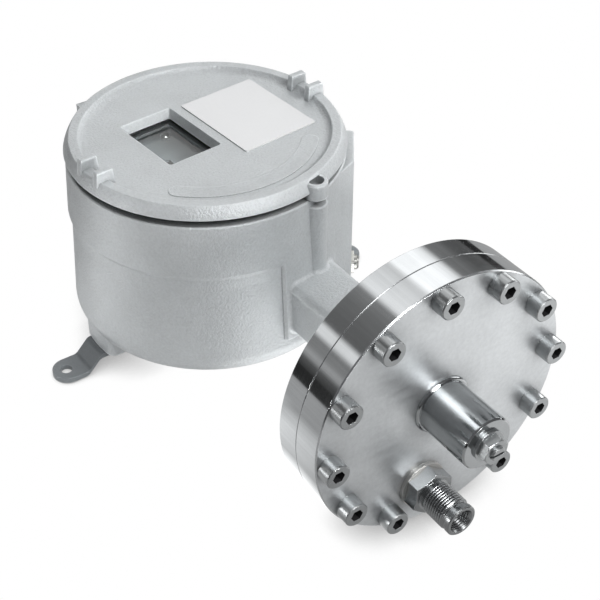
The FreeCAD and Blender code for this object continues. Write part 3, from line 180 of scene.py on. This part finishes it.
def surface(
    name, color, metallic, roughness, grain, depth,
    stretch=EVEN, vary=0.06, wear_and_glint=0.25, edge=0.4, hollow_shade=0.0, reach=6.0, shut=0.62,
):
    """A finish: grain, patches, rounded worn edges paled as painted highlights, painted shade in
    hollows.

    depth, edge and reach are in millimetres; shut is the openness where the painted shade of a
    hollow ends.
    """
    material, shader = new_material(name, color, metallic, roughness)
    rounded = add(material, "ShaderNodeBevel", Radius=edge * MM)
    rounded.samples = BEVEL_SAMPLES
    bump = add(material, "ShaderNodeBump", Distance=depth * MM)
    wire(material, noise(material, grain, GRAIN_DETAIL, stretch), bump.inputs["Height"])
    wire(material, rounded.outputs["Normal"], bump.inputs["Normal"])
    wire(material, bump.outputs["Normal"], shader.inputs["Normal"])
    broad = noise(material, PATCH_SCALE, PATCH_DETAIL)
    fine = noise(material, grain, MOTTLE_DETAIL, stretch)
    rough = spread(material, broad, roughness * SMOOTHER, roughness * ROUGHER)
    wire(material, rough, shader.inputs["Roughness"])
    patches = spread(material, broad, 1.0 - vary, 1.0 + vary)
    mottle = calculate(material, "ADD", patches, spread(material, fine, -vary, vary))
    shade = add(material, "ShaderNodeHueSaturation", Color=(*color, 1.0))
    wire(material, mottle, shade.inputs["Value"])
    tint = shade.outputs["Color"]
    # Worn edges and painted highlight: convex edges take a paler colour, which also stands in for
    # the light lines on rounded edges
    if wear_and_glint > 0.0:
        paler_glint_color = tuple(min(1.0, c * WEAR_GLINT_GAIN + WEAR_GLINT_LIFT) for c in color)
        solid = occlusion(material, 2.0 * edge * MM, SHADE_SAMPLES, inside=True)
        worn_glint_share = spread(material, solid, wear_and_glint, 0.0, WEAR_GLINT_FROM, WEAR_GLINT_TO)
        tint = blend(material, worn_glint_share, tint, paler_glint_color)
    # Painted shade: where nearby surfaces close it in, as in gaps, recesses and around screws, the
    # colour darkens
    if hollow_shade > 0.0:
        painted_shade_color = tuple(c * (1.0 - hollow_shade) for c in color)
        around = occlusion(material, reach * MM, SHADE_SAMPLES)
        unshaded_share = spread(material, around, 0.0, 1.0, HOLLOW_FROM, shut)
        tint = blend(material, unshaded_share, painted_shade_color, tint)
    wire(material, tint, shader.inputs["Base Color"])
    return material


# Finishes, one for each material slot: colour, metallic, roughness, scale of the grain, its depth,
# and what differs from the usual, such as painted shade in hollows and worn edges with painted
# highlights
FINISHES = [
    ("housing_paint", (0.530, 0.552, 0.562), 0.52, 0.40, 800.0, 0.5,
        {"wear_and_glint": 0.7, "edge": 0.55, "hollow_shade": 0.7}),
    ("foot_paint", (0.20, 0.215, 0.225), 0.55, 0.42, 900.0, 0.1,
        {"vary": 0.04, "wear_and_glint": 0.4, "hollow_shade": 0.5, "reach": 4.0}),
    ("flange_steel", (0.72, 0.742, 0.755), 1.0, 0.14, 420.0, 0.006,
        {"stretch": (1.0, 0.04, 1.0), "vary": 0.05, "wear_and_glint": 0.3, "edge": 0.35,
            "hollow_shade": 0.75, "reach": 14.0, "shut": 0.97}),
    ("tube_steel", (0.505, 0.522, 0.530), 1.0, 0.11, 160.0, 0.012,
        {"stretch": (1.0, 12.0, 1.0), "vary": 0.03, "wear_and_glint": 0.3}),
    ("fitting_steel", (0.335, 0.345, 0.35), 1.0, 0.26, 300.0, 0.024,
        {"vary": 0.05, "wear_and_glint": 0.6, "edge": 0.25, "hollow_shade": 0.6, "reach": 1.5}),
    ("screw_steel", (0.44, 0.455, 0.46), 1.0, 0.30, 900.0, 0.064,
        {"stretch": (1.0, 0.12, 1.0), "vary": 0.05, "edge": 0.3}),
    ("seal_metal", (0.55, 0.54, 0.52), 1.0, 0.35, 300.0, 0.08, {}),
    ("black_steel", (0.02, 0.02, 0.02), 0.4, 0.45, 400.0, 0.04, {}),
    ("seal_rubber", (0.012, 0.012, 0.012), 0.0, 0.7, 500.0, 0.08, {}),
    ("nameplate_white", (0.585, 0.59, 0.595), 0.0, 0.35, 700.0, 0.008,
        {"vary": 0.008, "wear_and_glint": 0.0, "edge": 0.1}),
    ("sheet_steel", (0.5, 0.51, 0.52), 1.0, 0.42, 200.0, 0.032, {}),
    ("scale_grey", (0.15, 0.165, 0.172), 0.0, 0.4, 500.0, 0.02, {}),
    ("inner_brass", (0.62, 0.44, 0.17), 1.0, 0.3, 300.0, 0.032, {}),
    ("switch_plastic", (0.02, 0.02, 0.022), 0.0, 0.5, 600.0, 0.04, {}),
    ("plunger_plastic", (0.42, 0.02, 0.015), 0.0, 0.3, 600.0, 0.02, {}),
    ("terminal_plastic", (0.4, 0.4, 0.38), 0.0, 0.5, 600.0, 0.04, {}),
    ("inner_steel", (0.55, 0.55, 0.55), 1.0, 0.32, 300.0, 0.032, {}),
    ("spring_steel", (0.3, 0.3, 0.31), 1.0, 0.35, 300.0, 0.02, {}),
    ("small_screws", (0.6, 0.6, 0.57), 1.0, 0.3, 400.0, 0.032, {}),
]
finishes = {name: surface(name, *looks, **changes) for name, *looks, changes in FINISHES}

# Flange steel: a smooth turned rim and a duller face, told apart by the way the surface faces
FACE_FROM = 0.55
FACE_TO = 0.85
TURNED_DETAIL = 3.0
RIM_SCALE = 420.0
RIM_STRETCH = (0.1, 9.0, 0.1)
RIM_ROUGHNESS = (0.05, 0.11)
FACE_SCALE = 260.0
FACE_STRETCH = (0.12, 1.0, 1.6)
FACE_ROUGHNESS = (0.33, 0.41)
steel = finishes["flange_steel"]
steel_coords = add(steel, "ShaderNodeTexCoord")
facing = add(steel, "ShaderNodeSeparateXYZ")
wire(steel, steel_coords.outputs["Normal"], facing.inputs["Vector"])
toward_front = calculate(steel, "ABSOLUTE", facing.outputs["Y"])
face_share = spread(steel, toward_front, 0.0, 1.0, FACE_FROM, FACE_TO)
rim_rough = spread(steel, noise(steel, RIM_SCALE, TURNED_DETAIL, RIM_STRETCH), *RIM_ROUGHNESS)
face_rough = spread(steel, noise(steel, FACE_SCALE, TURNED_DETAIL, FACE_STRETCH), *FACE_ROUGHNESS)
rough_mix = add(steel, "ShaderNodeMix")
wire(steel, face_share, rough_mix.inputs[0])
wire(steel, rim_rough, rough_mix.inputs[2])
wire(steel, face_rough, rough_mix.inputs[3])
wire(steel, rough_mix.outputs[0], steel.node_tree.nodes["Principled BSDF"].inputs["Roughness"])

# Window glass: clear, and open to the light that falls through it
GLASS_TINT = (0.90, 0.93, 0.93)
GLASS_SHADOW = (0.86, 0.89, 0.89, 1.0)
GLASS_IOR = 1.45
GLASS_MIRROR = 0.2
GLASS_ROUGHNESS = (0.01, 0.05)
SMEAR_SCALE = 60.0
SMEAR_DETAIL = 3.0
glass, glass_shader = new_material("window_glass", GLASS_TINT, 0.0, 0.02)
glass_shader.inputs["Transmission Weight"].default_value = 1.0
glass_shader.inputs["IOR"].default_value = GLASS_IOR
glass_shader.inputs["Specular IOR Level"].default_value = GLASS_MIRROR
smears = spread(glass, noise(glass, SMEAR_SCALE, SMEAR_DETAIL), *GLASS_ROUGHNESS)
wire(glass, smears, glass_shader.inputs["Roughness"])
clear = add(glass, "ShaderNodeBsdfTransparent", Color=GLASS_SHADOW)
shadow_ray = add(glass, "ShaderNodeLightPath").outputs["Is Shadow Ray"]
show(glass, choose(glass, shadow_ray, glass_shader.outputs["BSDF"], clear.outputs["BSDF"]))
finishes["window_glass"] = glass

SMOOTH_ANGLE = math.radians(28.0)


def shade_smooth(piece):
    for polygon in piece.data.polygons:
        polygon.use_smooth = True
    piece.data.set_sharp_from_angle(angle=SMOOTH_ANGLE)


for entry in frame["record"]["subparts"]:
    piece = nodes[entry["node"]]
    piece.data.materials.clear()
    piece.data.materials.append(finishes[entry["material_slot"]])
    shade_smooth(piece)

# Sockets of the flange screws: painted shade, black from just below the rim to the bottom
tube_low, tube_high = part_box("spring_tube")
screw_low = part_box("flange_screws")[0]
SENSOR_X = (tube_low.x + tube_high.x) / 2
SENSOR_Z = (tube_low.z + tube_high.z) / 2
SCREW_CIRCLE = 66.2 * MM
SCREW_STEP = 30.0
SCREW_TURN = 4.3
SOCKET_RADIUS = 3.5 * MM
SOCKET_RIM = 0.3 * MM
SOCKET_DEPTH = 6.0 * MM
screws = nodes["flange_screws"].data
screws.materials.append(surface("socket_shade", (0.012, 0.012, 0.013), 0.2, 0.6, 400.0, 0.04))
for polygon in screws.polygons:
    dx = polygon.center.x - SENSOR_X
    dz = polygon.center.z - SENSOR_Z
    heading = math.degrees(math.atan2(dz, dx))
    axis = math.radians(round((heading - SCREW_TURN) / SCREW_STEP) * SCREW_STEP + SCREW_TURN)
    off = math.hypot(dx - SCREW_CIRCLE * math.cos(axis), dz - SCREW_CIRCLE * math.sin(axis))
    depth = polygon.center.y - screw_low.y
    if off < SOCKET_RADIUS and SOCKET_RIM < depth < SOCKET_DEPTH:
        polygon.material_index = 1

# Pressure fitting with its threads, in place of the plain one; its sizes are in millimetres
seal_low, seal_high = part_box("fitting_seal")
fit_low, fit_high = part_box("pressure_fitting")
AXIS_X = (seal_low.x + seal_high.x) / 2
AXIS_Z = (seal_low.z + seal_high.z) / 2
SEAT_Y = seal_high.y
LENGTH = (SEAT_Y - fit_low.y) / MM
STUB = (fit_high.y - SEAT_Y) / MM
STUB_RADIUS = 6.5
PASSAGE_RADIUS = 2.5
ROUND = 120
MERGE_DISTANCE = 1e-7

# Hexagon: the outer edge of its end slopes away toward the corners
HEX_START = (seal_high.y - seal_low.y) / MM
HEX_LENGTH = 8.2
HEX_END = HEX_START + HEX_LENGTH
HEX_FLATS = 22.0
HEX_CORNER = HEX_FLATS / math.sqrt(3.0)
HEX_TOP = HEX_FLATS / 2 - 0.2
HEX_INSIDE = 8.0
HEX_SLOPE_RUN = HEX_CORNER + 0.3 - HEX_TOP
CORNER_BEYOND = 12.45 * MM

# Outer thread between a groove and the nose, and the thread in the mouth
THREAD_RADIUS = 9.0
THREAD_PITCH = 1.5
THREAD_DEPTH = 0.85
THREAD_FADE = 0.8
THREAD_AFTER_HEX = 2.0
THREAD_BEFORE_END = 5.2
ROWS_PER_PITCH = 10
GROOVE_RADIUS = THREAD_RADIUS - 0.9
GROOVE_FROM = 0.3
GROOVE_TO = 1.6
BORE_RADIUS = 5.9
BORE_THREAD_FROM = 1.6
BORE_THREAD_LENGTH = 10.0
BORE_THREAD_DEPTH = 0.45
BORE_THREAD_PITCH = 1.4
BORE_THREAD_ROWS = 60
CREST_GAIN = 1.25
ROOT_SINK = 0.1

# Distance before the fitting's end and radius, over the nose into the mouth, and at the bore's end
NOSE = [(4.8, 7.7), (3.4, 7.7), (2.9, 8.7), (0.6, 8.7), (0.0, 8.1), (0.0, 6.75), (1.2, BORE_RADIUS)]
BORE_BOTTOM = [(15.0, BORE_RADIUS), (17.0, PASSAGE_RADIUS)]

hex_turns = []
for vertex in nodes["pressure_fitting"].data.vertices:
    dx = vertex.co.x - AXIS_X
    dz = vertex.co.z - AXIS_Z
    if math.hypot(dx, dz) > CORNER_BEYOND:
        hex_turns.append(math.atan2(dz, dx) % (math.pi / 3))
HEX_TURN = hex_turns[0] if hex_turns else 0.0


def at(radius, angle, along):
    """A point around the fitting's axis: radius and distance from the seat in millimetres."""
    x = AXIS_X + radius * MM * math.cos(angle)
    z = AXIS_Z + radius * MM * math.sin(angle)
    return Vector((x, SEAT_Y - along * MM, z))


def ridge(along, angle, pitch):
    """Height of a thread's ridge, from 0 at the root to 1 at the flat crest."""
    step = (along / pitch - angle / (2 * math.pi)) % 1.0
    return min(1.0, max(0.0, (1.0 - abs(step * 2.0 - 1.0)) * CREST_GAIN - ROOT_SINK))


def plain(stations):
    """Stations without a thread."""
    return [(along, radius, 0.0, 0.0) for along, radius in stations]


def from_end(stations):
    """Stations without a thread, given by their distance before the fitting's end."""
    return plain((LENGTH - before, radius) for before, radius in stations)


def fitting_rows():
    """Stations over the outside and back through the bore: along, radius, thread depth, pitch."""
    rows = plain([
        (-STUB, PASSAGE_RADIUS),
        (-STUB, STUB_RADIUS),
        (HEX_START, STUB_RADIUS),
        (HEX_START, THREAD_RADIUS),
        (HEX_END, THREAD_RADIUS),
        (HEX_END + GROOVE_FROM, GROOVE_RADIUS),
        (HEX_END + GROOVE_TO, GROOVE_RADIUS),
    ])
    start = HEX_END + THREAD_AFTER_HEX
    end = LENGTH - THREAD_BEFORE_END
    count = round((end - start) / (THREAD_PITCH / ROWS_PER_PITCH))
    for step in range(count + 1):
        along = start + (end - start) * step / count
        fade = min(1.0, (along - start) / THREAD_FADE, (end - along) / THREAD_FADE)
        radius = THREAD_RADIUS - THREAD_DEPTH * (1.0 - fade)
        rows.append((along, radius, THREAD_DEPTH * fade, THREAD_PITCH))
    rows += from_end(NOSE)
    for step in range(BORE_THREAD_ROWS + 1):
        along = LENGTH - BORE_THREAD_FROM - BORE_THREAD_LENGTH * step / BORE_THREAD_ROWS
        rows.append((along, BORE_RADIUS + BORE_THREAD_DEPTH, BORE_THREAD_DEPTH, BORE_THREAD_PITCH))
    return rows + from_end(BORE_BOTTOM) + plain([(-STUB, PASSAGE_RADIUS)])


def hex_section(angle):
    """Radius and distance along of the hexagon's five rings, at an angle from a corner."""
    off = angle % (math.pi / 3) - math.pi / 6
    radius = min(HEX_CORNER, HEX_FLATS / 2 / math.cos(off))
    edge = HEX_END - (radius - HEX_TOP) / HEX_SLOPE_RUN
    return [
        (HEX_INSIDE, HEX_START),
        (radius, HEX_START),
        (radius, edge),
        (HEX_TOP, HEX_END),
        (HEX_INSIDE, HEX_END),
    ]


def bridge(shape, rings):
    """Faces between each ring of points and the next."""
    for lower, upper in zip(rings, rings[1:]):
        for k in range(ROUND):
            after = (k + 1) % ROUND
            shape.faces.new((lower[k], lower[after], upper[after], upper[k]))


def build_fitting():
    shape = bmesh.new()
    angles = [2 * math.pi * k / ROUND for k in range(ROUND)]
    rings = []
    for along, radius, depth, pitch in fitting_rows():
        circle = []
        for angle in angles:
            here = radius
            if depth > 0:
                here = radius - depth + depth * ridge(along, angle, pitch)
            circle.append(shape.verts.new(at(here, angle, along)))
        rings.append(circle)
    bridge(shape, rings)
    sides = []
    for ring in zip(*(hex_section(angle) for angle in angles)):
        circle = []
        for angle, (radius, along) in zip(angles, ring):
            circle.append(shape.verts.new(at(radius, HEX_TURN + angle, along)))
        sides.append(circle)
    bridge(shape, sides + sides[:1])
    bmesh.ops.remove_doubles(shape, verts=shape.verts, dist=MERGE_DISTANCE)
    bmesh.ops.recalc_face_normals(shape, faces=shape.faces)
    mesh = bpy.data.meshes.new("threaded_fitting")
    shape.to_mesh(mesh)
    shape.free()
    piece = bpy.data.objects.new("threaded_fitting", mesh)
    bpy.context.scene.collection.objects.link(piece)
    mesh.materials.append(finishes["fitting_steel"])
    shade_smooth(piece)
    return piece


fitting = build_fitting()
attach(fitting, "base")
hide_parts("pressure_fitting")


def flexing_spring(node, carried_low):
    """A copy of a spring that hides the original; which end the carrier would hold is worked out
    but not used.
    """
    low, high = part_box(node)
    middle = (low + high) / 2
    ends = [Vector((middle.x, low.y, middle.z)), Vector((middle.x, high.y, middle.z))]
    if not carried_low:
        ends.reverse()
    piece = bpy.data.objects.new(node + "_flexing", nodes[node].data.copy())
    piece.matrix_world = nodes[node].matrix_world
    bpy.context.scene.collection.objects.link(piece)
    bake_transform(piece)
    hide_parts(node)


flexing_spring("counter_spring", True)
flexing_spring("range_spring", False)


def camera_axes():
    """Right, up and back directions of the camera."""
    azimuth = math.radians(CAMERA_AZIMUTH)
    elevation = math.radians(CAMERA_ELEVATION)
    roll = math.radians(CAMERA_ROLL)
    flat = math.cos(elevation)
    back = Vector((math.sin(azimuth) * flat, -math.cos(azimuth) * flat, math.sin(elevation)))
    right = Vector((math.cos(azimuth), math.sin(azimuth), 0.0))
    up = back.cross(right)
    rolled_right = math.cos(roll) * right + math.sin(roll) * up
    rolled_up = math.cos(roll) * up - math.sin(roll) * right
    return rolled_right, rolled_up, back


lens = bpy.data.cameras.new("photo_camera")
lens.lens = CAMERA_LENS
lens.sensor_width = SENSOR_WIDTH
lens.clip_end = CAMERA_REACH
camera = bpy.data.objects.new("photo_camera", lens)
turn = Matrix(camera_axes()).transposed()
camera.matrix_world = Matrix.Translation(CAMERA_AT) @ turn.to_4x4()
bpy.context.scene.collection.objects.link(camera)
bpy.context.scene.camera = camera

# Floor: the part rests on its feet and on the flange's lowest point, so the floor leans a little
FLOOR_HALF = 6.0
FLOOR_GAP = 0.0002
TABLE_WHITE = (0.9, 0.9, 0.9)
TABLE_ROUGHNESS = 0.9
TABLE_AT = (0.12, 0.05, 0.0)
TABLE_RADIUS = 0.62
TABLE_FADE = 0.08
ROOM_DARK = (0.05, 0.05, 0.05)
flange_low, flange_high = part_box("outer_flange")
rear_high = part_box("inner_flange")[1]
lowest = Vector(((flange_low.x + flange_high.x) / 2, rear_high.y, flange_low.z))
lean = math.atan2(-lowest.z, -lowest.y)
floor_mesh = bpy.data.meshes.new("floor")
signs = [(-1, -1), (1, -1), (1, 1), (-1, 1)]
corners = [(x * FLOOR_HALF, y * FLOOR_HALF, 0) for x, y in signs]
floor_mesh.from_pydata(corners, [], [(0, 1, 2, 3)])
floor = bpy.data.objects.new("floor", floor_mesh)
floor.rotation_euler = (lean, 0.0, 0.0)
floor.location = (0.0, 0.0, -FLOOR_GAP)
bpy.context.scene.collection.objects.link(floor)
floor_finish, floor_shader = new_material("floor_white", TABLE_WHITE, 0.0, TABLE_ROUGHNESS)
floor_mesh.materials.append(floor_finish)
floor_spot = add(floor_finish, "ShaderNodeNewGeometry").outputs["Position"]


def distance_from(place):
    """Distance of the floor's points from a place."""
    node = add(floor_finish, "ShaderNodeVectorMath")
    node.operation = "DISTANCE"
    node.inputs[1].default_value = place
    wire(floor_finish, floor_spot, node.inputs[0])
    return node.outputs["Value"]


table_away = distance_from(TABLE_AT)
beyond = spread(floor_finish, table_away, 0.0, 1.0, TABLE_RADIUS, TABLE_RADIUS + TABLE_FADE)
floor_color = blend(floor_finish, beyond, TABLE_WHITE, ROOM_DARK)
wire(floor_finish, floor_color, floor_shader.inputs["Base Color"])

# What mirrors see of the floor: an even dim level with round pools of light on the table, and
# little beyond it; a pool has its place, radius and strength
MIRROR_LEVEL = 0.38
MIRROR_BEYOND = 0.05
POOLS = [
    ((0.24, -0.30, 0.0), 0.26, 0.85),
    ((-0.15, 0.04, 0.0), 0.09, 1.2),
    ((0.01, -0.115, 0.0), 0.08, 3.4),
    ((-0.10, -0.075, 0.0), 0.09, 0.6),
]
pools = MIRROR_LEVEL
for place, radius, strength in POOLS:
    pool = spread(floor_finish, distance_from(place), 1.0, 0.0, 0.0, radius)
    pools = calculate(floor_finish, "MULTIPLY_ADD", pool, strength, pools)
table_share = spread(floor_finish, beyond, 1.0, MIRROR_BEYOND, 0.0, 1.0)
mirrored = add(floor_finish, "ShaderNodeEmission")
mirror_strength = calculate(floor_finish, "MULTIPLY", pools, table_share)
wire(floor_finish, mirror_strength, mirrored.inputs["Strength"])

# What the camera sees of the floor: white, with a shadow close to the part
SHADOW_REACH = 0.022
SHADOW_SAMPLES = 12
SHADOW_LEVEL = 0.25
SHADOW_FROM = 0.08
SHADOW_TO = 0.76
near = occlusion(floor_finish, SHADOW_REACH, SHADOW_SAMPLES)
white = add(floor_finish, "ShaderNodeEmission")
lit = spread(floor_finish, near, SHADOW_LEVEL, 1.0, SHADOW_FROM, SHADOW_TO)
wire(floor_finish, lit, white.inputs["Strength"])

floor_ray = add(floor_finish, "ShaderNodeLightPath").outputs
table = floor_shader.outputs["BSDF"]
unseen = choose(floor_finish, floor_ray["Is Glossy Ray"], table, mirrored.outputs["Emission"])
show(
    floor_finish,
    choose(floor_finish, floor_ray["Is Camera Ray"], unseen, white.outputs["Emission"]),
)

AIM = Vector((0.0, -0.06, 0.06))
LIGHT_DISTANCE = 1.0


def soft_light(name, azimuth, elevation, width, height, power, in_mirrors):
    """A rectangular light that faces the part; the camera doesn't see it, mirrors only if told."""
    light = bpy.data.lights.new(name, "AREA")
    light.shape = "RECTANGLE"
    light.size = width
    light.size_y = height
    light.energy = power
    lamp = bpy.data.objects.new(name, light)
    a = math.radians(azimuth)
    e = math.radians(elevation)
    toward = Vector((math.cos(a) * math.cos(e), math.sin(a) * math.cos(e), math.sin(e)))
    lamp.location = AIM + LIGHT_DISTANCE * toward
    lamp.rotation_mode = "QUATERNION"
    lamp.rotation_quaternion = (AIM - lamp.location).to_track_quat("-Z", "Y")
    lamp.visible_camera = False
    lamp.visible_glossy = in_mirrors
    bpy.context.scene.collection.objects.link(lamp)


# Studio lights: azimuth and elevation in degrees, width and height in metres, power in watts, and
# whether mirrors see them
LIGHTS = [
    ("key_light", -60.0, 48.0, 0.4, 0.4, 6.6, False),
    ("key_card", -60.0, 48.0, 0.4, 0.4, 2.8, True),
    ("front_light", -100.0, 48.0, 0.4, 0.4, 2.2, True),
    ("front_strip", -80.0, 8.0, 0.22, 0.3, 7.0, True),
    ("left_strip", 165.0, 2.0, 0.22, 0.12, 2.2, True),
    ("top_light", 60.0, 82.0, 0.8, 0.8, 0.8, False),
    ("right_strip", -20.0, 15.0, 0.22, 0.5, 0.9, True),
    ("back_light", 60.0, 48.0, 0.4, 0.4, 1.6, False),
    ("back_strip", 50.0, 15.0, 0.5, 0.5, 2.7, False),
    ("side_strip", 20.0, 15.0, 0.22, 0.5, 1.5, True),
]
for entry in LIGHTS:
    soft_light(*entry)

# World: white to the camera and even for soft light; mirrors see strips behind the part and a dim
# room before it. A strip has its angle about the Y axis, in degrees up from the X axis, and level.
WORLD_WHITE = (1.0, 1.0, 1.0)
AMBIENT = (0.18, 0.18, 0.184)
FRONT_LEVEL = (0.14, 0.14, 0.145)
BEHIND_FROM = -0.10
BEHIND_TO = 0.15
HALF_TURN = 180.0
STRIPS = [
    (0.0, 0.10),
    (18.0, 0.10),
    (27.0, 0.18),
    (37.0, 0.20),
    (43.0, 1.05),
    (50.0, 1.28),
    (68.0, 1.32),
    (73.0, 0.74),
    (80.0, 0.84),
    (97.0, 1.00),
    (102.0, 0.24),
    (115.0, 0.17),
    (138.0, 0.13),
    (142.0, 0.86),
    (147.0, 0.90),
    (152.0, 0.22),
    (160.0, 0.26),
    (165.0, 0.42),
    (170.0, 0.10),
    (176.0, 0.05),
    (180.0, 0.05),
]
world = bpy.data.worlds.new("studio")
bpy.context.scene.world = world
world.use_nodes = True
world.node_tree.nodes.clear()
sky_coords = add(world, "ShaderNodeTexCoord")
direction = add(world, "ShaderNodeSeparateXYZ")
wire(world, sky_coords.outputs["Generated"], direction.inputs["Vector"])
strip_angle = calculate(world, "ARCTAN2", direction.outputs["Z"], direction.outputs["X"])
ramp = add(world, "ShaderNodeValToRGB")
stops = ramp.color_ramp.elements
for degrees, level in STRIPS[1:-1]:
    stops.new(degrees / HALF_TURN)
for stop, (degrees, level) in zip(stops, STRIPS):
    stop.position = degrees / HALF_TURN
    stop.color = (level, level, level, 1.0)
wire(world, spread(world, strip_angle, 0.0, 1.0, 0.0, math.pi), ramp.inputs["Fac"])
behind = spread(world, direction.outputs["Y"], 0.0, 1.0, BEHIND_FROM, BEHIND_TO)
in_mirrors = blend(world, behind, FRONT_LEVEL, ramp.outputs["Color"])
world_ray = add(world, "ShaderNodeLightPath").outputs
unseen_world = blend(world, world_ray["Is Glossy Ray"], AMBIENT, in_mirrors)
background = add(world, "ShaderNodeBackground")
sky = blend(world, world_ray["Is Camera Ray"], unseen_world, WORLD_WHITE)
wire(world, sky, background.inputs["Color"])
world_output = add(world, "ShaderNodeOutputWorld")
wire(world, background.outputs["Background"], world_output.inputs["Surface"])

bpy.context.scene.view_settings.view_transform = "Standard"
